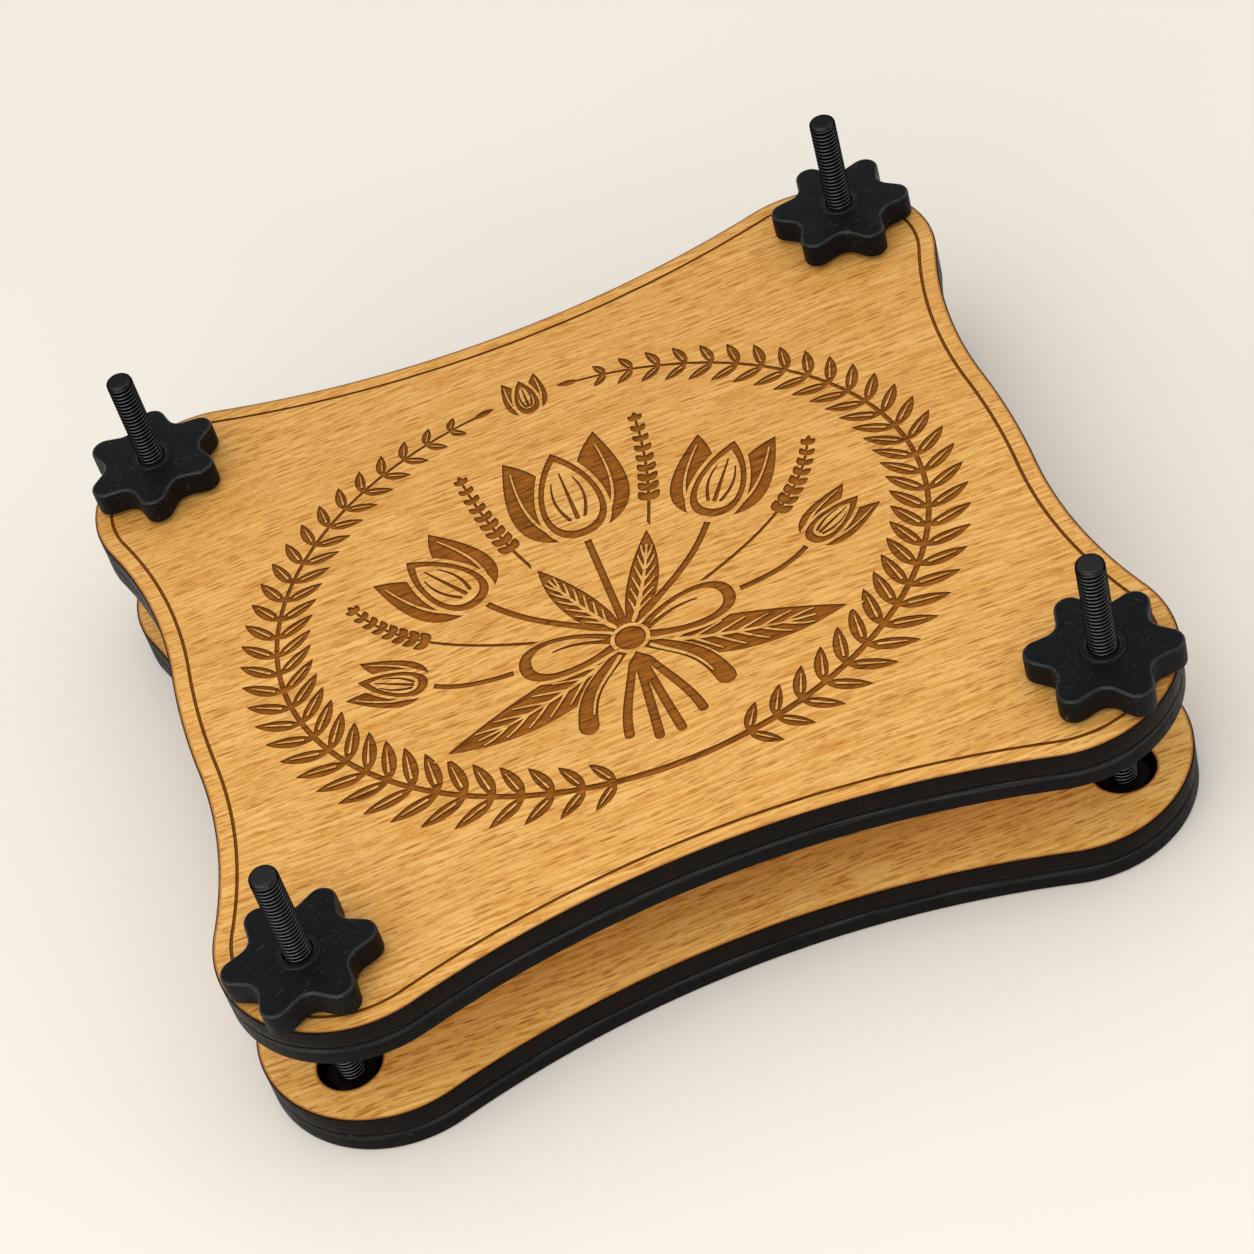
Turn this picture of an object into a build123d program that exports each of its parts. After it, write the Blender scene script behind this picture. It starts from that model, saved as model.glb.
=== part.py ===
from build123d import *
import math
import os

# Flower press, in millimetres, standing on z = 0 with +X along its longer side.
# Two scalloped boards slide on four upright bolts, and a star knob on each bolt draws them together.

# Boards: each is two sheets of one outline, glued face to face
board_length = 203.0
board_width = 192.0
panel_thickness = 5.0
corner_radius = 27.0
long_side_dip = 11.3
short_side_dip = 7.8
side_crown = 1.0
hollow_share = 0.35  # where a short side is hollowest, from its middle towards the corner's centre
edge_break = 0.3
press_gap = 19.5  # between the two boards, as the press stands open

# Bolts: countersunk screws whose heads are sunk in the underside of the base
bolt_inset = 17.5
bolt_length = 70.0
bolt_tip_chamfer = 0.6
thread_diameter = 6.0
head_depth = 3.0
head_sink = 0.4
head_angle = 90.0
socket_flats = 4.0
socket_depth = 2.4
bolt_clearance = 0.3
thread_clearance = 0.1
seat_clearance = 0.05

# Lock nuts: thin hexagon nuts sunk in round recesses of the base
nut_flats = 10.0
nut_thickness = 3.2
nut_bevel_angle = 30.0
nut_room = 1.2
hexagon_sides = 6

# Star knobs: six lobes, each a tip arc that runs into the arcs of the valleys beside it
knob_diameter = 32.0
knob_thickness = 6.4
knob_edge_radius = 0.6
lobe_count = 6
lobe_tip_share = 0.25  # radius of a lobe's tip, of the knob's radius
valley_share = 0.69  # distance of a valley's floor from the axis, of the knob's radius
knob_foot_wall = 4.2
knob_foot_height = 1.0

# Knob inserts: flanged bushes moulded into the knobs, with a groove that locks them in
insert_wall = 1.4
insert_lip = 0.7
insert_flange_thickness = 1.0
insert_rise = 0.45  # how far the flange stands above the knob
insert_edge_radius = 0.4
insert_mouth_chamfer = 0.5
insert_groove_depth = 0.5
insert_groove_length = 1.8

# Corners: the sides of the board along X and Y that each lies on, and the angle at which its knob stands
corner_sides = {"front_left": (-1, -1), "front_right": (1, -1), "back_left": (-1, 1), "back_right": (1, 1)}
knob_angles = {"front_left": 56.0, "front_right": 39.0, "back_left": 20.0, "back_right": 44.0}

# Heights and radii that follow from the sizes above
bolt_span_x = board_length - 2 * bolt_inset
bolt_span_y = board_width - 2 * bolt_inset
base_top = 2 * panel_thickness
cover_bottom = base_top + press_gap
cover_top = cover_bottom + 2 * panel_thickness
knob_bottom = cover_top + knob_foot_height
knob_top = knob_bottom + knob_thickness
insert_top = knob_top + insert_rise
flange_bottom = insert_top - insert_flange_thickness
bolt_tip = head_sink + bolt_length
thread_radius = thread_diameter / 2
head_slope = math.tan(math.radians(head_angle / 2))
head_radius = thread_radius + head_depth * head_slope
bolt_hole_radius = thread_radius + bolt_clearance
nut_corner_radius = nut_flats / 2 / math.cos(math.pi / hexagon_sides)
nut_recess_radius = nut_corner_radius + nut_room
insert_bore_radius = thread_radius + thread_clearance
insert_radius = insert_bore_radius + insert_wall
flange_radius = insert_radius + insert_lip
knob_foot_radius = insert_radius + knob_foot_wall
knob_radius = knob_diameter / 2


def upright(x, y):
    """The upright plane through a bolt's axis: across is the radius, up is the height."""
    return Plane(origin=(x, y, 0), x_dir=(1, 0, 0), z_dir=(0, -1, 0))


def touching_radius(offset, neighbour, dip):
    """Radius of the arc that touches a neighbour arc bending the other way, with their middles offset
    sideways and their crowns dip apart."""
    return (offset**2 + dip**2) / (2 * dip) - neighbour


def lobe_join():
    """Radius and angle, from a lobe's middle, of the point where its tip arc meets the valley's arc."""
    tip_radius = lobe_tip_share * knob_radius
    valley_floor = valley_share * knob_radius
    half_step = math.pi / lobe_count
    tip_centre = Vector(knob_radius - tip_radius, 0)
    across = tip_centre.X * math.cos(half_step)
    apart = tip_centre.X**2 + valley_floor**2 - 2 * valley_floor * across - tip_radius**2
    valley_radius = apart / (2 * (tip_radius + across - valley_floor))
    valley_reach = valley_floor + valley_radius
    valley_centre = Vector(valley_reach * math.cos(half_step), valley_reach * math.sin(half_step))
    join = tip_centre + (valley_centre - tip_centre).normalized() * tip_radius
    return join.length, math.degrees(math.atan2(join.Y, join.X))


def insert_profile(room):
    """Outer profile of an insert as (radius, height) corners, grown by room for the seat in its knob."""
    stem = insert_radius + room
    waist = insert_radius - insert_groove_depth + room
    flange = flange_radius + room
    groove_middle = (cover_top + flange_bottom) / 2
    groove_low = groove_middle - insert_groove_length / 2 + room
    groove_high = groove_middle + insert_groove_length / 2 - room
    return [
        (0, cover_top),
        (stem, cover_top),
        (stem, groove_low),
        (waist, groove_low),
        (waist, groove_high),
        (stem, groove_high),
        (stem, flange_bottom),
        (flange, flange_bottom),
        (flange, insert_top),
        (0, insert_top),
    ]


os.makedirs("parts", exist_ok=True)

# Board outline: one quarter in four tangent arcs, mirrored about both middle lines
corner_centre = Vector(board_length / 2 - corner_radius, board_width / 2 - corner_radius)
waist_y = board_width / 2 - long_side_dip
hollow_x = board_length / 2 - short_side_dip
hollow_y = hollow_share * corner_centre.Y
crown_x = hollow_x + side_crown
long_radius = touching_radius(corner_centre.X, corner_radius, long_side_dip)
hollow_radius = touching_radius(corner_centre.Y - hollow_y, corner_radius, short_side_dip)
crown_radius = touching_radius(hollow_y, hollow_radius, side_crown)
long_centre = Vector(0, waist_y + long_radius)
hollow_centre = Vector(hollow_x + hollow_radius, hollow_y)
crown_centre = Vector(crown_x - crown_radius, 0)
long_join = corner_centre + (long_centre - corner_centre).normalized() * corner_radius
hollow_join = corner_centre + (hollow_centre - corner_centre).normalized() * corner_radius
crown_join = crown_centre + (hollow_centre - crown_centre).normalized() * crown_radius

with BuildSketch() as board_outline:
    with BuildLine():
        long_side = TangentArc((0, waist_y), long_join, tangent=(1, 0))
        corner_arc = TangentArc(long_join, hollow_join, tangent=long_side % 1)
        hollow_arc = TangentArc(hollow_join, crown_join, tangent=corner_arc % 1)
        TangentArc(crown_join, (crown_x, 0), tangent=hollow_arc % 1)
        mirror(about=Plane.YZ)
        mirror(about=Plane.XZ)
    make_face()

# Base, lower sheet: countersunk from below for the heads of the bolts
with BuildPart() as base_bottom_panel:
    with BuildSketch():
        add(board_outline.sketch)
    extrude(amount=panel_thickness)
    chamfer(base_bottom_panel.faces().filter_by(Axis.Z).edges(), length=edge_break)
    with Locations(-Plane.XY):
        with GridLocations(bolt_span_x, bolt_span_y, 2, 2):
            CounterSinkHole(
                radius=bolt_hole_radius,
                counter_sink_radius=head_radius + head_sink * head_slope + seat_clearance,
                counter_sink_angle=head_angle,
            )
base_bottom_panel.part.label = "base_bottom_panel"
export_step(base_bottom_panel.part, "parts/base_bottom_panel.step")

# Base, upper sheet: a wide round recess at each bolt keeps the nut below the pressing face
with BuildPart() as base_top_panel:
    with BuildSketch(Plane.XY.offset(panel_thickness)):
        add(board_outline.sketch)
    extrude(amount=panel_thickness)
    chamfer(base_top_panel.faces().filter_by(Axis.Z).edges(), length=edge_break)
    with Locations(Plane.XY.offset(base_top)):
        with GridLocations(bolt_span_x, bolt_span_y, 2, 2):
            Hole(radius=nut_recess_radius)
base_top_panel.part.label = "base_top_panel"
export_step(base_top_panel.part, "parts/base_top_panel.step")

# Cover: two sheets that slide on the bolts
for sheet, sheet_bottom in (("bottom", cover_bottom), ("top", cover_bottom + panel_thickness)):
    with BuildPart() as cover_panel:
        with BuildSketch(Plane.XY.offset(sheet_bottom)):
            add(board_outline.sketch)
        extrude(amount=panel_thickness)
        chamfer(cover_panel.faces().filter_by(Axis.Z).edges(), length=edge_break)
        with Locations(Plane.XY.offset(sheet_bottom + panel_thickness)):
            with GridLocations(bolt_span_x, bolt_span_y, 2, 2):
                Hole(radius=bolt_hole_radius)
    cover_panel.part.label = f"cover_{sheet}_panel"
    export_step(cover_panel.part, f"parts/cover_{sheet}_panel.step")

join_radius, join_angle = lobe_join()
lobe_step = 360 / lobe_count
nut_bevel = (nut_corner_radius - nut_flats / 2) * math.tan(math.radians(nut_bevel_angle))

for corner, (side_x, side_y) in corner_sides.items():
    lobe_angle = knob_angles[corner]
    bolt_x = side_x * bolt_span_x / 2
    bolt_y = side_y * bolt_span_y / 2
    bolt_axis = Axis((bolt_x, bolt_y, 0), (0, 0, 1))

    # Bolt: turned from one profile, with a hexagon socket in its head
    with BuildPart() as bolt:
        with BuildSketch(upright(bolt_x, bolt_y)):
            with BuildLine():
                Polyline(
                    (0, head_sink),
                    (head_radius, head_sink),
                    (thread_radius, head_sink + head_depth),
                    (thread_radius, bolt_tip - bolt_tip_chamfer),
                    (thread_radius - bolt_tip_chamfer, bolt_tip),
                    (0, bolt_tip),
                    close=True,
                )
            make_face()
        revolve(axis=bolt_axis)
        with BuildSketch(Plane((bolt_x, bolt_y, head_sink), z_dir=(0, 0, -1))):
            RegularPolygon(socket_flats / 2, hexagon_sides, major_radius=False)
        extrude(amount=-socket_depth, mode=Mode.SUBTRACT)
    bolt.part.label = f"bolt_{corner}"
    export_step(bolt.part, f"parts/bolt_{corner}.step")

    # Lock nut: a hexagon with its corners bevelled on both faces, seated on the lower sheet
    with BuildPart() as lock_nut:
        with BuildSketch(Plane((bolt_x, bolt_y, panel_thickness))):
            RegularPolygon(nut_flats / 2, hexagon_sides, major_radius=False, rotation=lobe_angle)
            Circle(radius=thread_radius + thread_clearance, mode=Mode.SUBTRACT)
        extrude(amount=nut_thickness)
        with BuildSketch(upright(bolt_x, bolt_y)):
            with BuildLine():
                Polyline(
                    (0, panel_thickness),
                    (nut_flats / 2, panel_thickness),
                    (nut_corner_radius, panel_thickness + nut_bevel),
                    (nut_corner_radius, panel_thickness + nut_thickness - nut_bevel),
                    (nut_flats / 2, panel_thickness + nut_thickness),
                    (0, panel_thickness + nut_thickness),
                    close=True,
                )
            make_face()
        revolve(axis=bolt_axis, mode=Mode.INTERSECT)
    lock_nut.part.label = f"lock_nut_{corner}"
    export_step(lock_nut.part, f"parts/lock_nut_{corner}.step")

    # Star knob: lobed body on a round foot, moulded round the insert
    with BuildPart() as star_knob:
        with BuildSketch(Plane((bolt_x, bolt_y, knob_bottom))):
            with BuildLine():
                for lobe in range(lobe_count):
                    middle = lobe_angle + lobe * lobe_step
                    tip_start = Vector(join_radius, 0).rotate(Axis.Z, middle - join_angle)
                    tip = Vector(knob_radius, 0).rotate(Axis.Z, middle)
                    tip_end = Vector(join_radius, 0).rotate(Axis.Z, middle + join_angle)
                    floor = Vector(valley_share * knob_radius, 0).rotate(Axis.Z, middle + lobe_step / 2)
                    next_start = Vector(join_radius, 0).rotate(Axis.Z, middle + lobe_step - join_angle)
                    ThreePointArc(tip_start, tip, tip_end)
                    ThreePointArc(tip_end, floor, next_start)
            make_face()
        extrude(amount=knob_thickness)
        fillet(star_knob.faces().filter_by(Axis.Z).edges(), radius=knob_edge_radius)
        with BuildSketch(Plane((bolt_x, bolt_y, cover_top))):
            Circle(radius=knob_foot_radius)
        extrude(amount=knob_foot_height)
        with BuildSketch(upright(bolt_x, bolt_y)):
            with BuildLine():
                Polyline(*insert_profile(seat_clearance), close=True)
            make_face()
        revolve(axis=bolt_axis, mode=Mode.SUBTRACT)
    star_knob.part.label = f"star_knob_{corner}"
    export_step(star_knob.part, f"parts/star_knob_{corner}.step")

    # Knob insert: flanged bush with a bevelled mouth, bored for the bolt
    with BuildPart() as knob_insert:
        with BuildSketch(upright(bolt_x, bolt_y)):
            with BuildLine():
                Polyline(*insert_profile(0), close=True)
            make_face()
        revolve(axis=bolt_axis)
        with Locations((bolt_x, bolt_y, insert_top)):
            Hole(radius=insert_bore_radius)
        rims = knob_insert.edges().group_by(Axis.Z)[-1].sort_by(SortBy.RADIUS)
        fillet(rims[-1], radius=insert_edge_radius)
        chamfer(rims[0], length=insert_mouth_chamfer)
    knob_insert.part.label = f"knob_insert_{corner}"
    export_step(knob_insert.part, f"parts/knob_insert_{corner}.step")
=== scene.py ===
"""A flower press: two scalloped beech boards on four black bolts, drawn together by star knobs."""

import math

import bmesh
import bpy
from bpy.props import FloatProperty, FloatVectorProperty, IntProperty, PointerProperty
from mathutils import Matrix, Vector
from mathutils.geometry import delaunay_2d_cdt, interpolate_bezier


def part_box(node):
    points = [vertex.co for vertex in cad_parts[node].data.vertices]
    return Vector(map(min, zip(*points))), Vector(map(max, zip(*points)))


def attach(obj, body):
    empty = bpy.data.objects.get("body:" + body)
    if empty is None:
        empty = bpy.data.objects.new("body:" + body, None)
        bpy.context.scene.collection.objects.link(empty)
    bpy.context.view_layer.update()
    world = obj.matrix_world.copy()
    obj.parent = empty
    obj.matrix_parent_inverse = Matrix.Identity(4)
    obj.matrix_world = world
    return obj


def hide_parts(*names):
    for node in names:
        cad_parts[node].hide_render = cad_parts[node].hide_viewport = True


bl_info = {
    "name": "Flower press",
    "version": (1, 0, 0),
    "blender": (4, 5, 0),
    "location": "View3D > Sidebar > Flower press",
    "description": "Builds the wood, engraving and hardware of a flower press round its CAD frame",
    "category": "Add Mesh",
}

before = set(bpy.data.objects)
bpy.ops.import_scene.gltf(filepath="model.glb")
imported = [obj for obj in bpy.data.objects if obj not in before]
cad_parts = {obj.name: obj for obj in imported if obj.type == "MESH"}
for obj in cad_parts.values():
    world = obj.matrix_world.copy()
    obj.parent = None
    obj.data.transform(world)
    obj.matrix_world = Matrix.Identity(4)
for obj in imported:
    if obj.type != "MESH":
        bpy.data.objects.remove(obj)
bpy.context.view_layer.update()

MM = 0.001
CORNERS = ("front_left", "front_right", "back_left", "back_right")
KNOB_DEGREES = {"front_left": 56, "front_right": 39, "back_left": 20, "back_right": 44}
SHARP_ANGLE = math.radians(38)
SAME_POINT = 1e-6

# What a spot on a sheet's face is, and the places of a sheet's materials
# A painted-shade spot is wood given the black char where only shade falls.
FACE, CUT, PAINTED_SHADE, OPEN = "face", "cut", "burnt", "open"
BEECH, CHAR, ENGRAVED = range(3)

# Reach of the wreath from the middle of the cover, in millimetres
WREATH_REACH = Vector((72.0, 61.0))

# Handles of a leaf's two edges, as shares of its length and of its width
LEAF_ALONG_SHARES = (0.25, 0.7)
LEAF_OUT_SHARES = (0.8, 0.62)

# Heights of the steps of a knob's parting line, as shares of its width
PARTING_SHARES = (1.0, 0.6, 0.28, 0.12)

# Place and reach of the painted glint in a turn of the thread, a reflective band on the upper flank where
# the front lamp's highlight falls, gloss of the bolt's plain ends, and how near to an end a point of the
# thread becomes a part of it
GLINT_PHASE = 0.8
GLINT_REACH = 0.18
END_GLOSS = 0.4
THREAD_END = 0.02 * MM

# Tints of the shine on nylon and at the rims of blackened steel
COOL_SHINE = (0.85, 0.93, 1.0, 1.0)
BLACK_RIM = (0.0, 0.0, 0.0, 1.0)

# Share of a spot that has its full strength, and the strength of the faintest spots
CORE_SHARE = 0.7
FAINTEST = 0.4

# Place, width and height of each light, in metres
LIGHTS = {
    "key": ((-0.45, -0.3, 1.35), 1.4, 1.4),
    "front": ((-0.455, -0.645, 0.32), 1.3, 0.08),
    "side": ((0.85, -0.3, 0.36), 0.45, 0.06),
}


class BoardSettings(bpy.types.PropertyGroup):
    """Shape and colours of the two boards, each of two sheets."""

    corner_radius: FloatProperty(
        name="Corner radius", description="Radius of a board's corners", default=27 * MM, unit="LENGTH")
    long_side_dip: FloatProperty(
        name="Long side dip", description="How far a long side dips at its middle",
        default=11.3 * MM, unit="LENGTH")
    short_side_dip: FloatProperty(
        name="Short side dip", description="How far a short side dips", default=7.8 * MM, unit="LENGTH")
    side_crown: FloatProperty(
        name="Side crown", description="Rise of a short side's middle", default=1.0 * MM, unit="LENGTH")
    hollow_share: FloatProperty(
        name="Hollow place", description="Place of a short side's hollow, from its middle to its corner",
        default=0.35, subtype="FACTOR")
    edge_round: FloatProperty(
        name="Edge round", description="Rounding of a sheet's edges", default=0.3 * MM, unit="LENGTH")
    groove_round: FloatProperty(
        name="Groove round", description="Rounding of an upper sheet over the groove",
        default=0.55 * MM, unit="LENGTH")
    seam_round: FloatProperty(
        name="Seam round", description="Rounding of a lower sheet's upper edge",
        default=0.7 * MM, unit="LENGTH")
    burn_width: FloatProperty(
        name="Burn width", description="Width of the singed line beside a cut edge",
        default=0.8 * MM, unit="LENGTH")
    outline_step: FloatProperty(
        name="Outline step", description="Spacing of the points round a sheet",
        default=1.2 * MM, unit="LENGTH")
    bolt_hole: FloatProperty(
        name="Bolt hole", description="Radius of a bolt's hole", default=3.3 * MM, unit="LENGTH")
    nut_recess: FloatProperty(
        name="Nut recess", description="Radius of a lock nut's recess", default=6.97 * MM, unit="LENGTH")
    sink_radius: FloatProperty(
        name="Countersink radius", description="Radius of a countersink's mouth",
        default=6.45 * MM, unit="LENGTH")
    sink_depth: FloatProperty(
        name="Countersink depth", description="Depth of a countersink", default=3.15 * MM, unit="LENGTH")
    pale: FloatVectorProperty(
        name="Pale beech", description="Colour between the grain lines",
        default=(0.87, 0.5, 0.147), subtype="COLOR")
    honey: FloatVectorProperty(
        name="Honey beech", description="Colour of the grain lines",
        default=(0.655, 0.295, 0.047), subtype="COLOR")
    base_pale: FloatVectorProperty(
        name="Pale base", description="Colour between the base's grain lines",
        default=(0.86, 0.555, 0.168), subtype="COLOR")
    base_honey: FloatVectorProperty(
        name="Honey base", description="Colour of the base's grain lines",
        default=(0.645, 0.343, 0.069), subtype="COLOR")
    # Painted shade: the colour that the wood is darkened towards at the back, and a little at the right.
    back_shade: FloatVectorProperty(
        name="Heartwood", description="Colour that the wood turns to at the back",
        default=(0.42, 0.17, 0.03), subtype="COLOR")
    fleck: FloatVectorProperty(
        name="Flecks", description="Colour of the short dark flecks",
        default=(0.41, 0.145, 0.012), subtype="COLOR")
    singe: FloatVectorProperty(
        name="Singe", description="Colour of the wood beside a cut edge",
        default=(0.34, 0.115, 0.016), subtype="COLOR")
    char_warm: FloatVectorProperty(
        name="Warm char", description="Colour of the upper sheets' burnt edges",
        default=(0.0042, 0.0028, 0.002), subtype="COLOR")
    char_cool: FloatVectorProperty(
        name="Cool char", description="Colour of the lower sheets' burnt edges",
        default=(0.003, 0.0028, 0.0027), subtype="COLOR")
    # Painted highlight: the pale grey laid along a lower sheet's rounded upper edge, where light catches
    # it, given as rubbed char.
    edge_highlight: FloatVectorProperty(
        name="Ash", description="Colour of char rubbed off at an edge",
        default=(0.04, 0.039, 0.037), subtype="COLOR")
    # How far down the edge that painted highlight reaches.
    highlight_depth: FloatProperty(
        name="Rub depth", description="How far down an edge the char is rubbed",
        default=2.4 * MM, unit="LENGTH")
    grain_depth: FloatProperty(
        name="Grain depth", description="Depth of the wood's grain", default=0.015 * MM, unit="LENGTH")
    char_depth: FloatProperty(
        name="Char depth", description="Depth of the streaks in a burnt edge",
        default=0.06 * MM, unit="LENGTH")


class EngravingSettings(bpy.types.PropertyGroup):
    """The engraved design on the cover."""

    depth: FloatProperty(
        name="Depth", description="Depth of the engraving", default=0.25 * MM, unit="LENGTH")
    border_inset: FloatProperty(
        name="Border inset", description="Distance of the border line from the edge",
        default=3.6 * MM, unit="LENGTH")
    border_width: FloatProperty(
        name="Border width", description="Width of the border line", default=0.75 * MM, unit="LENGTH")
    line: FloatProperty(
        name="Line width", description="Width of the drawn lines", default=1.1 * MM, unit="LENGTH")
    # The darkening near a wall is partly the burn at an engraving's edge and partly painted shade.
    wall_shade_reach: FloatProperty(
        name="Rim reach", description="How far the darkest burn reaches from a wall",
        default=0.8 * MM, unit="LENGTH")
    grain_depth: FloatProperty(
        name="Burnt grain depth", description="Depth of the grain in the burnt floor",
        default=0.05 * MM, unit="LENGTH")
    leaflets: IntProperty(
        name="Leaflets", description="Pairs of leaflets on a fern frond", default=34, min=8)
    pale: FloatVectorProperty(
        name="Pale engraving", description="Lighter colour of the burnt floor",
        default=(0.395, 0.128, 0.011), subtype="COLOR")
    dark: FloatVectorProperty(
        name="Dark engraving", description="Darker colour of the burnt floor",
        default=(0.185, 0.053, 0.003), subtype="COLOR")
    # The fleck colour is also the colour of the walls and of the floor near them, partly burn and partly
    # painted shade.
    fleck: FloatVectorProperty(
        name="Engraving flecks", description="Colour of the flecks in it",
        default=(0.077, 0.022, 0.002), subtype="COLOR")


class HardwareSettings(bpy.types.PropertyGroup):
    """Bolts, star knobs and their bushes."""

    thread_radius: FloatProperty(
        name="Thread radius", description="Radius of a bolt at the crests of its thread",
        default=3.0 * MM, unit="LENGTH")
    thread_pitch: FloatProperty(
        name="Thread pitch", description="Rise of the thread in a turn", default=1.0 * MM, unit="LENGTH")
    thread_depth: FloatProperty(
        name="Thread depth", description="Depth of the thread", default=0.75 * MM, unit="LENGTH")
    thread_sides: IntProperty(
        name="Thread sides", description="Points round the thread", default=32, min=12)
    thread_rows: IntProperty(
        name="Thread rows", description="Rows of points in a pitch", default=8, min=4)
    tip_radius: FloatProperty(
        name="Tip radius", description="Radius of the flat end of a bolt", default=2.3 * MM, unit="LENGTH")
    tip_height: FloatProperty(
        name="Tip height", description="Height of the rounding at a bolt's end",
        default=1.1 * MM, unit="LENGTH")
    tip_rim: FloatProperty(
        name="Tip rim", description="Width of the rim of a bolt's flat end",
        default=0.2 * MM, unit="LENGTH")
    neck_height: FloatProperty(
        name="Neck height", description="Length between a bolt's head and its thread",
        default=0.4 * MM, unit="LENGTH")
    head_radius: FloatProperty(
        name="Head radius", description="Radius of a bolt's countersunk head",
        default=6.0 * MM, unit="LENGTH")
    head_depth: FloatProperty(
        name="Head depth", description="Height of a bolt's cone", default=3.0 * MM, unit="LENGTH")
    head_edge: FloatProperty(
        name="Head edge", description="Height of the edge round a bolt's head",
        default=0.15 * MM, unit="LENGTH")
    head_bevel: FloatProperty(
        name="Head bevel", description="Width of the bevel at that edge", default=0.1 * MM, unit="LENGTH")
    socket_flats: FloatProperty(
        name="Socket flats", description="Width of the hexagon socket", default=4.0 * MM, unit="LENGTH")
    socket_depth: FloatProperty(
        name="Socket depth", description="Depth of the hexagon socket", default=2.4 * MM, unit="LENGTH")
    socket_cone: FloatProperty(
        name="Socket cone", description="Height of the cone at the socket's end",
        default=0.4 * MM, unit="LENGTH")
    lobes: IntProperty(
        name="Lobes", description="Lobes of a star knob", default=6, min=3)
    knob_radius: FloatProperty(
        name="Knob radius", description="Radius of a star knob at its lobes",
        default=16.0 * MM, unit="LENGTH")
    lobe_share: FloatProperty(
        name="Lobe tip", description="Radius of a lobe's tip in the knob's radius",
        default=0.205, subtype="FACTOR")
    hollow_share: FloatProperty(
        name="Valley round", description="Radius of a valley in the knob's radius",
        default=0.21, subtype="FACTOR")
    valley_share: FloatProperty(
        name="Valley floor", description="Distance of a valley's floor in the knob's radius",
        default=0.705, subtype="FACTOR")
    knob_round: FloatProperty(
        name="Knob edge", description="Rounding of a knob's edges", default=0.65 * MM, unit="LENGTH")
    parting_line: FloatProperty(
        name="Parting line", description="Height of the parting line round a knob's sides",
        default=0.02 * MM, unit="LENGTH")
    parting_width: FloatProperty(
        name="Parting width", description="Half the width of the band round the parting line",
        default=0.5 * MM, unit="LENGTH")
    hub_ring: FloatProperty(
        name="Hub ring", description="Width of the worn ring round a bush", default=0.5 * MM, unit="LENGTH")
    foot_radius: FloatProperty(
        name="Foot radius", description="Radius of a knob's foot", default=8.7 * MM, unit="LENGTH")
    foot_height: FloatProperty(
        name="Foot height", description="Height of a knob's foot", default=1.0 * MM, unit="LENGTH")
    bush_radius: FloatProperty(
        name="Bush radius", description="Radius of the bush in a knob", default=4.5 * MM, unit="LENGTH")
    bush_flange: FloatProperty(
        name="Bush flange", description="Radius of the bush's flange", default=4.85 * MM, unit="LENGTH")
    bush_lip: FloatProperty(
        name="Bush lip", description="Height of the bush's flange", default=1.0 * MM, unit="LENGTH")
    bush_round: FloatProperty(
        name="Bush round", description="Rounding of the flange's outer edge",
        default=0.75 * MM, unit="LENGTH")
    bush_mouth: FloatProperty(
        name="Bush mouth", description="Rounding of the bore's mouth", default=0.25 * MM, unit="LENGTH")
    bush_bore: FloatProperty(
        name="Bush bore", description="Radius of the bush's bore", default=3.1 * MM, unit="LENGTH")
    nylon: FloatVectorProperty(
        name="Nylon", description="Colour of the knobs", default=(0.0042, 0.0042, 0.0046), subtype="COLOR")
    scuff: FloatVectorProperty(
        name="Scuffs", description="Colour of specks and scratches",
        default=(0.1, 0.098, 0.095), subtype="COLOR")
    steel: FloatVectorProperty(
        name="Steel", description="Colour of the bolts and nuts",
        default=(0.0022, 0.0022, 0.0024), subtype="COLOR")
    bush: FloatVectorProperty(
        name="Bush", description="Colour of the bushes", default=(0.004, 0.004, 0.0042), subtype="COLOR")
    # The glint colour is a painted highlight: the reflectance of the thread's upper flank, where the front
    # lamp's glint falls.
    glint_colour: FloatVectorProperty(
        name="Gloss", description="Colour of the rubbed flanks of the thread",
        default=(0.085, 0.085, 0.088), subtype="COLOR")
    wear: FloatVectorProperty(
        name="Wear", description="Colour of worn metal", default=(0.06, 0.048, 0.038), subtype="COLOR")


class StageSettings(bpy.types.PropertyGroup):
    """Camera, light and floor."""

    azimuth: FloatProperty(
        name="Azimuth", description="The camera's bearing", default=math.radians(-4.31), subtype="ANGLE")
    elevation: FloatProperty(
        name="Elevation", description="The camera's height angle",
        default=math.radians(44.78), subtype="ANGLE")
    roll: FloatProperty(
        name="Roll", description="The camera's tilt", default=math.radians(-17.56), subtype="ANGLE")
    distance: FloatProperty(
        name="Distance", description="The camera's distance", default=721.01 * MM, unit="LENGTH")
    pan_right: FloatProperty(
        name="Pan right", description="The camera's move to its right", default=-2.62 * MM, unit="LENGTH")
    pan_up: FloatProperty(
        name="Pan up", description="The camera's move upwards", default=14.07 * MM, unit="LENGTH")
    lens: FloatProperty(
        name="Lens", description="Focal length in millimetres", default=93.24, unit="CAMERA")
    floor: FloatVectorProperty(
        name="Floor", description="Colour of the floor", default=(0.88, 0.828, 0.743), subtype="COLOR")
    floor_reach: FloatProperty(
        name="Floor reach", description="Distance from the middle to the floor's edges",
        default=4.0, unit="LENGTH")
    floor_drop: FloatProperty(
        name="Floor drop", description="How far the floor lies under the base",
        default=0.2 * MM, unit="LENGTH")
    backdrop: FloatVectorProperty(
        name="Backdrop", description="Colour behind the floor", default=(0.88, 0.82, 0.73), subtype="COLOR")
    fill: FloatProperty(
        name="Fill", description="Strength of the light from all round", default=0.84, min=0.0)
    key: FloatProperty(
        name="Key", description="Power of the large soft light", default=3.5, min=0.0, unit="POWER")
    front: FloatProperty(
        name="Front", description="Power of the strip light in front", default=2.7, min=0.0, unit="POWER")
    side: FloatProperty(
        name="Side", description="Power of the strip light at the right",
        default=0.45, min=0.0, unit="POWER")


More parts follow.
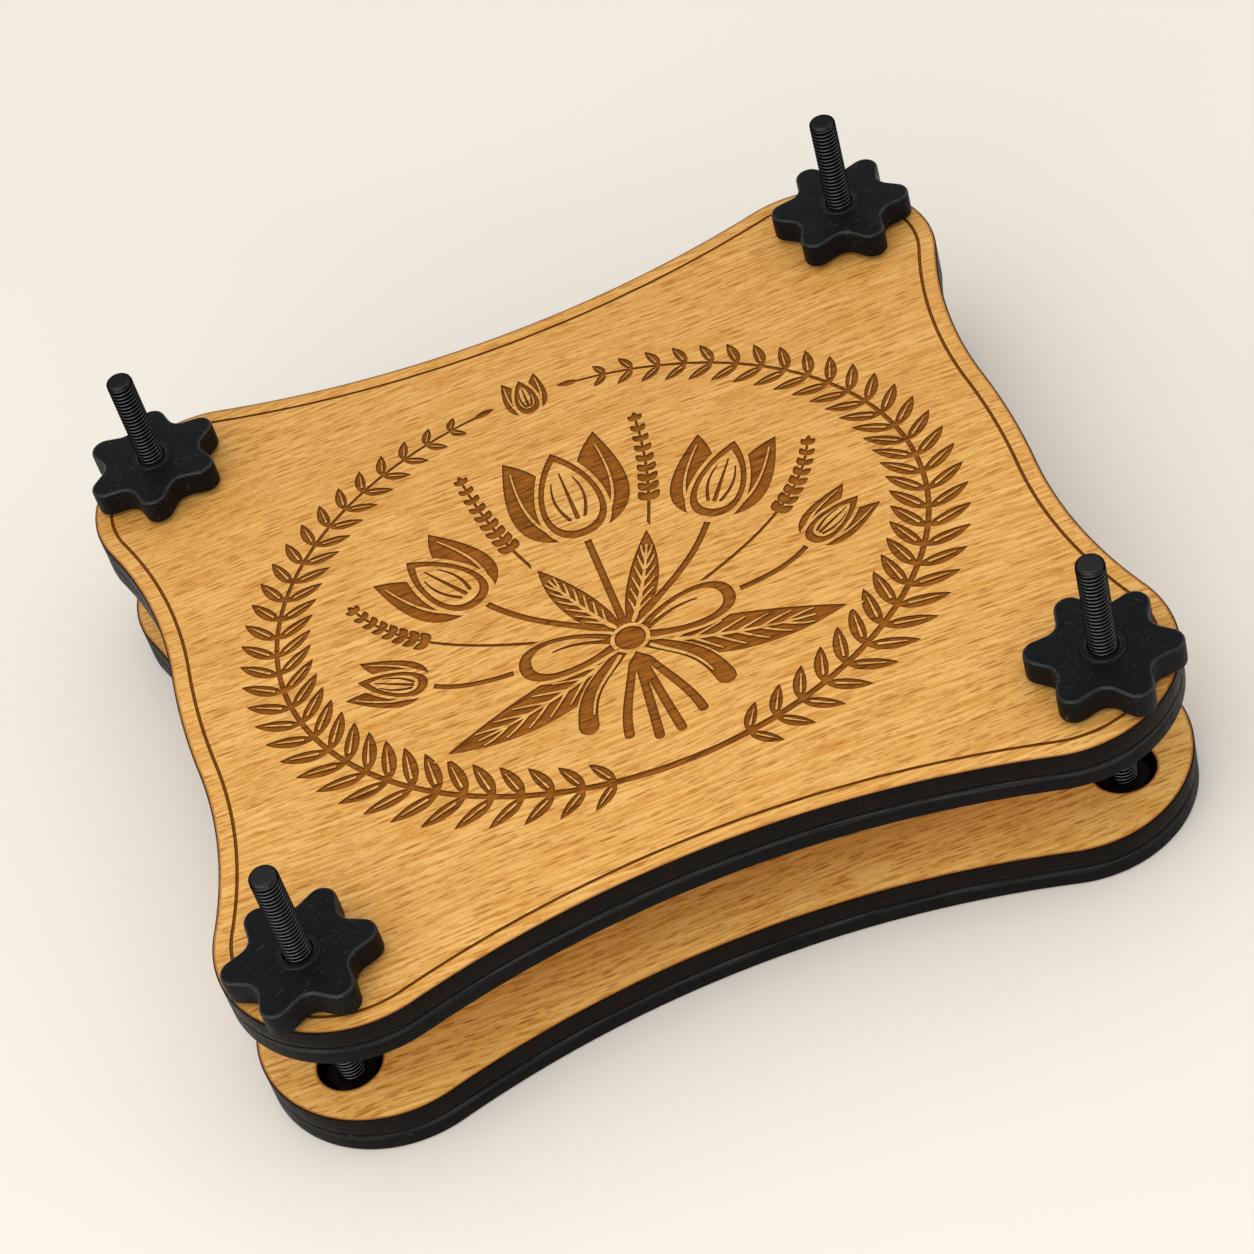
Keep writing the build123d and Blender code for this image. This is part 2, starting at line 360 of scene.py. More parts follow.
class FlowerPressSettings(bpy.types.PropertyGroup):
    """Everything that can be set on the flower press."""

    boards: PointerProperty(name="Boards", description="The boards", type=BoardSettings)
    engraving: PointerProperty(name="Engraving", description="The engraved design", type=EngravingSettings)
    hardware: PointerProperty(name="Hardware", description="Bolts and knobs", type=HardwareSettings)
    stage: PointerProperty(name="Stage", description="Camera, light and floor", type=StageSettings)


def bearing(vector):
    """Angle of a flat vector, anticlockwise from +X."""
    return math.atan2(vector.y, vector.x)


def heading(angle):
    """Flat unit vector at an angle."""
    return Vector((math.cos(angle), math.sin(angle)))


def circle(centre, radius, sides=48):
    """Points round a circle."""
    return [centre + radius * heading(2 * math.pi * i / sides) for i in range(sides)]


def bolt_axis(corner):
    """Place of a corner's bolt, seen from above."""
    low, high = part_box(f"bolt_{corner}")
    return ((low + high) / 2).xy


def rounding(radius, steps=4):
    """How far in and how far down each ring of a rounded upper edge lies, after its first."""
    angles = [math.pi / 2 * k / steps for k in range(1, steps + 1)]
    return [(radius * (1 - math.sin(a)), radius * (1 - math.cos(a))) for a in angles]


def touching_radius(offset, neighbour, dip):
    """Radius of an arc that touches a neighbouring arc and dips below its far side."""
    return (offset ** 2 + dip ** 2) / (2 * dip) - neighbour


def board_arc(centre, radius, inset, first, last, spacing):
    """Points of one arc of a board's outline, from the bearing of one point to that of another."""
    start = bearing(first - centre)
    turn = (bearing(last - centre) - start + math.pi) % (2 * math.pi) - math.pi
    steps = max(4, round(abs(turn) * radius / spacing))
    return [centre + (radius + inset) * heading(start + turn * i / steps) for i in range(steps)]


def board_outline(boards, inset):
    """Points round a board, moved inwards: arcs for the crown, hollow, corner and waist of each quarter."""
    low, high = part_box("cover_top_panel")
    half = (high - low).xy / 2
    corner = half - Vector((boards.corner_radius, boards.corner_radius))
    waist = Vector((0.0, half.y - boards.long_side_dip))
    hollow = Vector((half.x - boards.short_side_dip, boards.hollow_share * corner.y))
    crown = Vector((hollow.x + boards.side_crown, 0.0))
    waist_radius = touching_radius(corner.x, boards.corner_radius, boards.long_side_dip)
    hollow_radius = touching_radius(corner.y - hollow.y, boards.corner_radius, boards.short_side_dip)
    crown_radius = touching_radius(hollow.y, hollow_radius, boards.side_crown)
    over_waist = waist + Vector((0.0, waist_radius))
    by_hollow = hollow + Vector((hollow_radius, 0.0))
    behind_crown = crown - Vector((crown_radius, 0.0))
    step = boards.outline_step
    quarter = [
        *board_arc(behind_crown, crown_radius, -inset, crown, by_hollow, step),
        *board_arc(by_hollow, hollow_radius, inset, behind_crown, corner, step),
        *board_arc(corner, boards.corner_radius, -inset, by_hollow, over_waist, step),
        *board_arc(over_waist, waist_radius, inset, corner, waist, step),
        waist - Vector((0.0, inset)),
    ]
    back = quarter[::-1]
    return [
        *quarter[:-1],
        *(Vector((-p.x, p.y)) for p in back[:-1]),
        *(-p for p in quarter[:-1]),
        *(Vector((p.x, -p.y)) for p in back[:-1]),
    ]


class Drawing:
    """Closed shapes laid over one another: the last one over a spot says if it is cut or left standing."""

    def __init__(self):
        self.shapes = []

    def add(self, points, kind=CUT):
        """Adds a shape given in millimetres."""
        turn = sum(a.cross(b) for a, b in zip(points, points[1:] + points[:1]))
        loop = points if turn > 0 else points[::-1]
        self.shapes.append(([p * MM for p in loop], kind))

    def pair(self, points, kind=CUT):
        """Adds a shape and its mirror image across the middle of the board."""
        self.add(points, kind)
        self.add([Vector((-p.x, p.y)) for p in points], kind)


def curve(start, first, second, end, steps=20):
    """Points of a curve between two ends with two handles."""
    return interpolate_bezier(Vector(start), Vector(first), Vector(second), Vector(end), steps)


def cap(end, outwards, width):
    """Points round the end of a drawn line."""
    turn = bearing(outwards)
    return [end + width / 2 * heading(turn + math.pi * share) for share in (-0.3, -0.1, 0.1, 0.3)]


def stroke(line, start_width, end_width):
    """Outline of a drawn line that goes from one width to another, with round ends."""
    left = []
    right = []
    for i, point in enumerate(line):
        forward = line[min(i + 1, len(line) - 1)] - line[max(i - 1, 0)]
        width = start_width + (end_width - start_width) * i / (len(line) - 1)
        side = forward.orthogonal().normalized() * width / 2
        left.append(point + side)
        right.append(point - side)
    tail = cap(line[0], line[0] - line[1], start_width)
    tip = cap(line[-1], line[-1] - line[-2], end_width)
    return [*tail, *right, *tip, *left[::-1]]


def leaf(base, tip, width, lean=0.0, steps=11):
    """Outline of a pointed leaf whose belly may lean to one side."""
    along = tip - base
    side = along.orthogonal().normalized() * width
    near, far = (base + along * share for share in LEAF_ALONG_SHARES)
    near_out, far_out = LEAF_OUT_SHARES
    left = (near + side * (near_out + lean), far + side * (far_out + lean))
    right = (far - side * (far_out - lean), near - side * (near_out - lean))
    there = interpolate_bezier(base, *left, tip, steps)
    back = interpolate_bezier(tip, *right, base, steps)
    return there[:-1] + back[:-1]


def veins(base, tip, width, lean, count, line):
    """Outlines of the midrib and the paired side veins of a leaf."""
    along = tip - base
    side = along.orthogonal().normalized() * width
    near_along, far_along = LEAF_ALONG_SHARES
    near_out, far_out = LEAF_OUT_SHARES

    def spot(t, out):
        near = 3 * t * (1 - t) ** 2
        far = 3 * t ** 2 * (1 - t)
        belly = (near_out * out + lean) * near + (far_out * out + lean) * far
        return base + along * (near_along * near + far_along * far + t ** 3) + side * belly

    shapes = [stroke([spot(0.12 + 0.08 * i, 0.0) for i in range(10)], line, 0.4 * line)]
    for k in range(count):
        t = 0.2 + 0.5 * k / (count - 1)
        for out in (0.72, -0.72):
            side_vein = [spot(t + 0.045 * i, out * i / 3) for i in range(4)]
            shapes.append(stroke(side_vein, 0.6 * line, 0.3 * line))
    return shapes


def scaled(points, middle, share):
    """A shape made larger or smaller about a point."""
    return [middle + (p - middle) * share for p in points]


def tulip(origin, tilt, height, spread, line):
    """Shapes of a tulip: two filled side petals with a standing vein, and an outlined one in front."""
    outer = curve((0, 0), (1.45 * spread, 0.0), (1.12 * spread, 0.62 * height), (0.86 * spread, height))
    inner = curve(outer[-1], (0.5 * spread, 0.86 * height), (0.1 * spread, 0.7 * height), (0, 0))
    side_petal = outer[:-1] + inner[:-1]
    vein = stroke(
        curve((0.42 * spread, 0.1 * height), (0.86 * spread, 0.25 * height),
              (0.86 * spread, 0.6 * height), (0.8 * spread, 0.86 * height)), 0.75 * line, 0.3 * line)
    rise = curve((0, 0), (0.82 * spread, 0.0), (0.7 * spread, 0.6 * height), (0, 0.93 * height))
    front = rise[:-1] + [Vector((-p.x, p.y)) for p in rise[:0:-1]]
    middle = Vector((0.0, 0.42 * height))
    rib = stroke(
        curve((0, 0.2 * height), (0, 0.4 * height),
              (0, 0.5 * height), (0, 0.7 * height)), line, 0.35 * line)
    side_rib = stroke(
        curve((0.14 * spread, 0.2 * height), (0.3 * spread, 0.36 * height),
              (0.3 * spread, 0.48 * height), (0.2 * spread, 0.62 * height)), 0.8 * line, 0.3 * line)
    mirrored = [[Vector((-p.x, p.y)) for p in shape] for shape in (side_petal, vein, side_rib)]
    shapes = [
        (side_petal, CUT),
        (mirrored[0], CUT),
        (vein, FACE),
        (mirrored[1], FACE),
        (scaled(front, middle, 1 + 1.5 * line / spread), FACE),
        (front, CUT),
        (scaled(front, middle, 1 - 2.1 * line / spread), FACE),
        (rib, CUT),
        (side_rib, CUT),
        (mirrored[2], CUT),
    ]
    turn = Matrix.Rotation(-tilt, 2)
    return [([origin + turn @ p for p in points], kind) for points, kind in shapes]


def draw_fronds(drawing, reach, leaflets):
    """Two fern fronds that curve up both sides as an oval wreath."""
    start = math.radians(-94)
    finish = math.radians(80)
    splay = math.radians(52)
    longest = 13.0
    lean = 0.12
    rib_shares = (0.24, 0.5, 0.76)
    stem = []
    for i in range(leaflets * 2 + 1):
        angle = start + (finish - start) * i / (leaflets * 2)
        stem.append(Vector((reach.x * math.cos(angle), reach.y * math.sin(angle))))
    drawing.pair(stroke(stem, start_width=1.7, end_width=0.7))
    for k in range(3, leaflets):
        share = k / leaflets
        spot = stem[2 * k]
        forward = (stem[2 * k + 1] - stem[2 * k - 1]).normalized()
        size = longest * min(1.0, 0.45 + 2.2 * share) * (1.0 - share) ** 0.3
        for turn in (splay, -splay):
            tip = spot + Matrix.Rotation(turn, 2) @ forward * size
            drawing.pair(leaf(spot, tip, width=0.17 * size + 1.1, lean=math.copysign(lean, turn)))
            rib = [spot + (tip - spot) * reached for reached in rib_shares]
            drawing.pair(stroke(rib, start_width=0.05 * size, end_width=0.02 * size), FACE)
    end = stem[-1]
    last_tip = end + (end - stem[-2]).normalized() * 5.0
    drawing.pair(leaf(end, last_tip, width=1.8))


def draw_sprig(drawing, line, buds, line_width):
    """A lavender sprig: a thin stem with pairs of small buds along its upper part."""
    drawing.pair(stroke(line, line_width, 0.6 * line_width))
    splay = math.radians(34)
    largest = 4.2
    taper = 1.6
    first = len(line) - buds
    for i in range(first, len(line)):
        forward = (line[i] - line[i - 1]).normalized()
        size = largest - taper * (i - first) / buds
        for turn in (splay, -splay):
            tip = line[i] + Matrix.Rotation(turn, 2) @ forward * size
            drawing.pair(leaf(line[i] + (tip - line[i]) * 0.12, tip, width=0.52 * size, steps=6))
    last_tip = line[-1] + (line[-1] - line[-2]).normalized() * 3.4
    drawing.pair(leaf(line[-1], last_tip, width=1.5, steps=6))


def draw_bow(drawing, knot, line):
    """A ribbon bow round the stems, with two loops and two tails."""
    knot_radius = 3.4
    gap_radius = 4.3

    def bend(*places):
        return curve(*(knot + Vector(place) for place in places))

    tail = stroke(bend((0, 0), (6, -7), (13, -8), (15, -20)), start_width=2.6, end_width=4.4)
    fold = stroke(bend((3.5, -4), (8, -9), (11, -10), (13, -17)), 0.8 * line, 0.4 * line)
    drawing.pair(scaled(tail, knot + Vector((9, -9)), 1.12), FACE)
    drawing.pair(tail)
    drawing.pair(fold, FACE)
    upper = bend((0, 0), (9, 9), (24, 11), (24, 2))
    lower = bend((24, 2), (24, -6), (9, -5), (0, 0))
    loop = upper[:-1] + lower[:-1]
    middle = knot + Vector((13.5, 2.6))
    drawing.pair(scaled(loop, middle, 1.13), FACE)
    drawing.pair(loop)
    drawing.pair(scaled(loop, middle, 0.74), FACE)
    drawing.pair(stroke(bend((4.5, 1), (8, 3), (12, 4.5), (16, 4)), 1.1 * line, 0.4 * line))
    drawing.add(circle(knot, gap_radius, sides=24), FACE)
    drawing.add(circle(knot, knot_radius, sides=24))


def draw_bouquet(drawing, line):
    """Three tulips, two buds, blades and lavender, tied with a bow."""
    tie = Vector((0, -23))
    middle_head = Vector((0, 11))
    side_head = Vector((26, 3))
    bud = Vector((43, -15))
    for foot in (Vector((2.4, -52)), Vector((8.0, -49))):
        stalk = curve(tie, tie + Vector((0.5, -8)), foot + Vector((-1, 9)), foot)
        drawing.pair(stroke(stalk, start_width=1.6, end_width=2.2))
    draw_sprig(drawing, curve(tie, (8, -6), (18, 12), (20.5, 40), steps=24), buds=9, line_width=1.0)
    draw_sprig(drawing, curve(tie, (16, -14), (42, -10), (52, 13), steps=24), buds=8, line_width=1.0)
    low_blade = {"base": Vector((0.6, -24)), "tip": Vector((44, -36)), "width": 10.0, "lean": -0.34}
    high_blade = {"base": Vector((0.6, -21)), "tip": Vector((12.5, 6)), "width": 6.4, "lean": -0.22}
    for given in (low_blade, high_blade):
        blade = leaf(**given, steps=20)
        drawing.pair(scaled(blade, (given["base"] + given["tip"]) / 2, 1.16), FACE)
        drawing.pair(blade)
        for vein in veins(**given, count=6, line=line):
            drawing.pair(vein, FACE)
    drawing.add(stroke(curve(tie, (0, -10), (0, 0), (0, 13)), start_width=1.8, end_width=1.6))
    drawing.pair(stroke(curve(tie, (6, -14), (17, -12), side_head), start_width=1.8, end_width=1.5))
    drawing.pair(stroke(curve(tie, (10, -18), (32, -25), bud), start_width=1.7, end_width=1.3))
    for shape, kind in tulip(middle_head, tilt=0.0, height=31.0, spread=12.5, line=line):
        drawing.add(shape, kind)
    for shape, kind in tulip(side_head, tilt=math.radians(32), height=25.0, spread=10.4, line=line):
        drawing.pair(shape, kind)
    for shape, kind in tulip(bud, tilt=math.radians(60), height=17.0, spread=6.2, line=0.8 * line):
        drawing.pair(shape, kind)
    draw_bow(drawing, tie, line)


def engraved_design(boards, engraving):
    """The cover's whole design: a border line, a wreath of two fronds and a tied bouquet in it."""
    drawing = Drawing()
    line = engraving.line / MM
    for inset, kind in ((0.0, CUT), (engraving.border_width, FACE)):
        drawing.shapes.append((board_outline(boards, engraving.border_inset + inset), kind))
    draw_fronds(drawing, WREATH_REACH, engraving.leaflets)
    draw_bouquet(drawing, line)
    top_bud = Vector((0, 55))
    for shape, kind in tulip(top_bud, tilt=0.0, height=13.0, spread=4.6, line=0.7 * line):
        drawing.add(shape, kind)
    return drawing


def ring(bm, points, height):
    """New points of a mesh at one height."""
    return [bm.verts.new((p.x, p.y, height)) for p in points]


def skin(bm, rings, material=0, closed=False):
    """Quads from each ring to the next; they face outwards where the rings go down."""
    pairs = list(zip(rings, rings[1:]))
    if closed:
        pairs.append((rings[-1], rings[0]))
    for upper, lower in pairs:
        for i in range(len(upper)):
            j = (i + 1) % len(upper)
            face = bm.faces.new((upper[i], lower[i], lower[j], upper[j]))
            face.material_index = material


def fan(bm, middle, points, up):
    """Triangles from a ring to a point in its middle."""
    for i in range(len(points)):
        ends = (points[i], points[(i + 1) % len(points)])
        bm.faces.new((middle, *(ends if up else ends[::-1])))


def flat_face(bm, boards, height, up, edge, hole_radius, drawing=None, depth=0.0, shaded_seat=0.0):
    """One face of a sheet with its singed rims, its engraving and, round the holes of a nut recess's floor,
    wood painted black as shade; gives its rim and its holes.
    """
    burn = bm.verts.layers.float["burn"]
    axes = [bolt_axis(corner) for corner in CORNERS]
    loops = [(board_outline(boards, edge), FACE), (board_outline(boards, edge + boards.burn_width), FACE)]
    loops += [(circle(axis, hole_radius + boards.burn_width), FACE) for axis in axes]
    loops += drawing.shapes if drawing else []
    # Painted shade: round each hole of a nut recess's floor the wood is given the black char, where the
    # recess lies in shade.
    if shaded_seat:
        loops += [(circle(axis, shaded_seat), PAINTED_SHADE) for axis in axes]
    loops += [(circle(axis, hole_radius), OPEN) for axis in axes]
    points = []
    faces = []
    for loop, kind in loops:
        faces.append(list(range(len(points), len(points) + len(loop))))
        points += loop
    spots, _, triangles, sources, _, covers = delaunay_2d_cdt(points, [], faces, 1, SAME_POINT)
    place = {given: i for i, givens in enumerate(sources) for given in givens}
    made = {}

    def corner(index, cut):
        if (index, cut) not in made:
            made[index, cut] = bm.verts.new((*spots[index], height - depth * cut))
        return made[index, cut]

    borders = {}
    for triangle, cover in zip(triangles, covers):
        kind = loops[max(cover)][1]
        if kind == OPEN:
            continue
        corners = [corner(index, kind == CUT) for index in triangle]
        face = bm.faces.new(corners if up else corners[::-1])
        face.material_index = {FACE: BEECH, CUT: ENGRAVED, PAINTED_SHADE: CHAR}[kind]
        for a, b in zip(triangle, triangle[1:] + triangle[:1]):
            borders.setdefault((min(a, b), max(a, b)), []).append((a, b, kind))
    for sides in borders.values():
        if {kind for _, _, kind in sides} == {FACE, CUT}:
            a, b = next((a, b) for a, b, kind in sides if kind == FACE)
            wall = bm.faces.new((corner(b, False), corner(a, False), corner(a, True), corner(b, True)))
            wall.material_index = ENGRAVED
    edges = faces[:1] + faces[-len(axes):]
    rings = [[made[place[i], False] for i in edge_points] for edge_points in edges]
    for point in (point for points in rings for point in points):
        point[burn] = 1.0
    return rings[0], rings[1:]


def new_piece(name, bm, materials, body, node):
    """A closed mesh as a piece that rides on a body in place of its CAD node."""
    if any(not edge.is_manifold for edge in bm.edges):
        raise RuntimeError(f"the mesh of {name} isn't closed")
    for face in bm.faces:
        face.smooth = True
    mesh = bpy.data.meshes.new(name)
    bm.to_mesh(mesh)
    bm.free()
    mesh.set_sharp_from_angle(angle=SHARP_ANGLE)
    for material in materials:
        mesh.materials.append(material)
    piece = bpy.data.objects.new(name, mesh)
    bpy.context.scene.collection.objects.link(piece)
    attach(piece, body)
    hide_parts(node)
    return piece


def make_sheet(settings, name, node, body, mouths, char, steps=(), drawing=None, top_round=None, shaded_seat=0.0):
    """One beech sheet with burnt edges; its holes have two mouths and may have steps between them."""
    boards = settings.boards
    low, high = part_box(node)
    top = top_round or boards.edge_round
    bottom = boards.edge_round if top_round else boards.groove_round
    bm = bmesh.new()
    bm.verts.layers.float.new("burn")
    rubbed = bm.verts.layers.float.new("rubbed")
    top_rim, top_holes = flat_face(
        bm, boards, high.z, True, top, mouths[0], drawing, settings.engraving.depth, shaded_seat)
    bottom_rim, bottom_holes = flat_face(bm, boards, low.z, False, bottom, mouths[1])
    sides = [ring(bm, board_outline(boards, inset), high.z - drop) for inset, drop in rounding(top)]
    # A lower sheet's rounded upper edge and the band below it are marked for a painted highlight, a pale
    # grey that the char shader lays there.
    if top_round:
        edge_rings = sides[2:]
        for point in (point for points in edge_rings for point in points):
            point[rubbed] = 1.0
        sides.append(ring(bm, board_outline(boards, 0.0), high.z - boards.highlight_depth))
    lower_edge = rounding(bottom)[::-1]
    sides += [ring(bm, board_outline(boards, inset), low.z + drop) for inset, drop in lower_edge]
    skin(bm, [top_rim, *sides, bottom_rim], CHAR)
    for index, corner in enumerate(CORNERS):
        walls = [ring(bm, circle(bolt_axis(corner), radius), height) for radius, height in steps]
        skin(bm, [bottom_holes[index], *walls[::-1], top_holes[index]], CHAR)
    wood = {"cover": "oiled_beech", "base": "pale_beech"}[body]
    materials = [beech(wood, boards), charred(char, boards), engraved(settings.engraving)]
    return new_piece(name, bm, materials, body, node)


def star_outline(hardware, inset):
    """Points round a star knob, moved inwards: round tips and valleys with straight flanks between them."""
    half = math.pi / hardware.lobes
    radius = hardware.knob_radius
    tip_radius = hardware.lobe_share * radius
    valley_radius = hardware.hollow_share * radius
    tip = radius - tip_radius
    valley = hardware.valley_share * radius + valley_radius
    apart = valley * heading(half) - Vector((tip, 0.0))
    tip_turn = bearing(apart) - math.acos((tip_radius + valley_radius) / apart.length)
    valley_turn = tip_turn - half
    steps = 13
    sweep = [2 * k / steps - 1 for k in range(steps + 1)]
    points = []
    for lobe in range(hardware.lobes):
        out = 2 * half * lobe
        end = tip * heading(out)
        points += [end + (tip_radius - inset) * heading(out + tip_turn * k) for k in sweep]
        out += half
        end = valley * heading(out)
        points += [end - (valley_radius + inset) * heading(out - valley_turn * k) for k in sweep]
    return points


def make_knob(hardware, corner):
    """One star knob: sides with a parting line, rounded edges, a foot and a bore for its bush."""
    low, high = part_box(f"star_knob_{corner}")
    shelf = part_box(f"knob_insert_{corner}")[1].z - hardware.bush_lip
    axis = bolt_axis(corner)
    turn = Matrix.Rotation(math.radians(KNOB_DEGREES[corner]), 2)
    bottom = low.z + hardware.foot_height
    seam = (bottom + high.z) / 2
    bearings = [bearing(p) for p in star_outline(hardware, 0.0)]
    bm = bmesh.new()
    hub = bm.verts.layers.float.new("hub")
    rubbed = bm.verts.layers.float.new("rubbed")

    def star(inset, height):
        return ring(bm, [axis + turn @ p for p in star_outline(hardware, inset)], height)

    def disc(size, height):
        return ring(bm, [axis + turn @ (size * heading(a)) for a in bearings], height)

    edge = rounding(hardware.knob_round)
    proud = hardware.parting_line
    rises = [share * hardware.parting_width for share in PARTING_SHARES]
    parting = list(zip((proud, proud, proud, 0.0), rises))
    rings = [
        disc(hardware.bush_flange, high.z),
        disc(hardware.bush_flange + hardware.hub_ring, high.z),
        star(proud + hardware.knob_round, high.z),
        *(star(proud + inset, high.z - drop) for inset, drop in edge),
        *(star(inset, seam + rise) for inset, rise in parting),
        *(star(inset, seam - rise) for inset, rise in parting[::-1]),
        *(star(proud + inset, bottom + drop) for inset, drop in edge[::-1]),
        star(proud + hardware.knob_round, bottom),
        disc(hardware.foot_radius, bottom),
        disc(hardware.foot_radius, low.z),
        disc(hardware.bush_radius, low.z),
        disc(hardware.bush_radius, shelf),
        disc(hardware.bush_flange, shelf),
    ]
    skin(bm, rings, closed=True)
    hub_rings = rings[:2]
    edge_rings = rings[3:6]
    for point in (point for points in hub_rings for point in points):
        point[hub] = 1.0
    for point in (point for points in edge_rings for point in points):
        point[rubbed] = 1.0
    return new_piece(f"star_knob_body_{corner}", bm, [nylon(hardware)], f"knob_{corner}",
                     f"star_knob_{corner}")


def make_bush(hardware, corner):
    """The turned bush that a knob is moulded round, with a rounded lip."""
    low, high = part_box(f"knob_insert_{corner}")
    axis = bolt_axis(corner)
    outer = rounding(hardware.bush_round)
    mouth = rounding(hardware.bush_mouth)
    shelf = high.z - hardware.bush_lip
    profile = [
        (hardware.bush_bore + hardware.bush_mouth, high.z),
        (hardware.bush_flange - hardware.bush_round, high.z),
        *((hardware.bush_flange - inset, high.z - drop) for inset, drop in outer),
        (hardware.bush_flange, shelf),
        (hardware.bush_radius, shelf),
        (hardware.bush_radius, low.z),
        (hardware.bush_bore, low.z),
        *((hardware.bush_bore + inset, high.z - drop) for inset, drop in mouth[::-1]),
    ]
    bm = bmesh.new()
    rubbed = bm.verts.layers.float.new("rubbed")
    rings = [ring(bm, circle(axis, radius), height) for radius, height in profile]
    skin(bm, rings, closed=True)
    edge_rings = (rings[0], rings[3], rings[-1])
    for point in (point for points in edge_rings for point in points):
        point[rubbed] = 1.0
    return new_piece(f"knob_bush_{corner}", bm, [bush_metal(hardware)], f"knob_{corner}",
                     f"knob_insert_{corner}")


def make_bolt(hardware, corner):
    """One bolt: a rounded helical thread to a rounded tip, and a countersunk head with a hexagon socket."""
    low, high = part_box(f"bolt_{corner}")
    axis = bolt_axis(corner)
    sides = hardware.thread_sides
    rows = hardware.thread_rows
    pitch = hardware.thread_pitch
    crest = hardware.thread_radius
    tip_radius = hardware.tip_radius
    tip_height = hardware.tip_height
    start = low.z + hardware.head_depth + hardware.neck_height
    finish = high.z
    bearings = [2 * math.pi * j / sides for j in range(sides)]
    bm = bmesh.new()
    rubbed = bm.verts.layers.float.new("rubbed")

    def share_at(height):
        """How deep the thread is cut: in full but at its two ends."""
        return max(0.0, min(1.0, (finish - height - tip_height / 2) / pitch, (height - start) / pitch))

    def radius_at(height, off_crest):
        cut = hardware.thread_depth * share_at(height) * (1 - math.sqrt(1 - off_crest ** 2))
        bend = max(0.0, 1.0 - (finish - height) / tip_height)
        return crest - cut - (crest - tip_radius) * (1 - math.sqrt(1 - bend * bend))

    def disc(size, height):
        return ring(bm, [axis + size * heading(a) for a in bearings], height)

    top = disc(tip_radius, finish)
    bottom = disc(crest, start)
    total = math.ceil(rows * ((finish - start) / pitch + 1)) + 1
    made = {}

    def point(column, row):
        row -= rows * (column // sides)
        column %= sides
        height = finish + pitch * (column / sides - row / rows)
        if height > finish - THREAD_END:
            return top[column]
        if height < start + THREAD_END:
            return bottom[column]
        if (column, row) not in made:
            phase = (row % rows) / rows
            off_crest = 2 * min(phase, 1 - phase)
            spot = axis + radius_at(height, off_crest) * heading(bearings[column])
            made[column, row] = bm.verts.new((spot.x, spot.y, height))
            # Painted glint: the upper flank, where the front lamp's highlight falls, is marked reflective;
            # the valleys stay black as painted shade.
            glint = max(0.0, 1.0 - abs(phase - GLINT_PHASE) / GLINT_REACH)
            made[column, row][rubbed] = END_GLOSS + (glint - END_GLOSS) * share_at(height)
        return made[column, row]

    for column in range(sides):
        for row in range(total + rows):
            places = ((column, row), (column, row + 1), (column + 1, row + 1), (column + 1, row))
            distinct = list(dict.fromkeys(point(*place) for place in places))
            if len(distinct) > 2:
                bm.faces.new(distinct)
    flat_top = disc(tip_radius - hardware.tip_rim, finish)
    middle = bm.verts.new((axis.x, axis.y, finish))
    for vert in (middle, *flat_top, *top):
        vert[rubbed] = END_GLOSS
    skin(bm, [flat_top, top])
    fan(bm, middle, flat_top, True)
    flat = hardware.socket_flats / 2
    hexagon = [flat / math.cos((a + math.pi / 6) % (math.pi / 3) - math.pi / 6) for a in bearings]
    spots = [axis + size * heading(a) for size, a in zip(hexagon, bearings)]
    rim = hardware.head_radius - hardware.head_edge
    floor = low.z + hardware.socket_depth
    cone = [
        bottom,
        disc(crest, low.z + hardware.head_depth),
        disc(rim, low.z + hardware.head_edge),
        disc(rim - hardware.head_bevel, low.z),
        ring(bm, spots, low.z),
        ring(bm, spots, floor),
    ]
    skin(bm, cone)
    fan(bm, bm.verts.new((axis.x, axis.y, floor + hardware.socket_cone)), cone[-1], False)
    return new_piece(f"threaded_bolt_{corner}", bm, [steel(hardware)], "base",
                     f"bolt_{corner}")


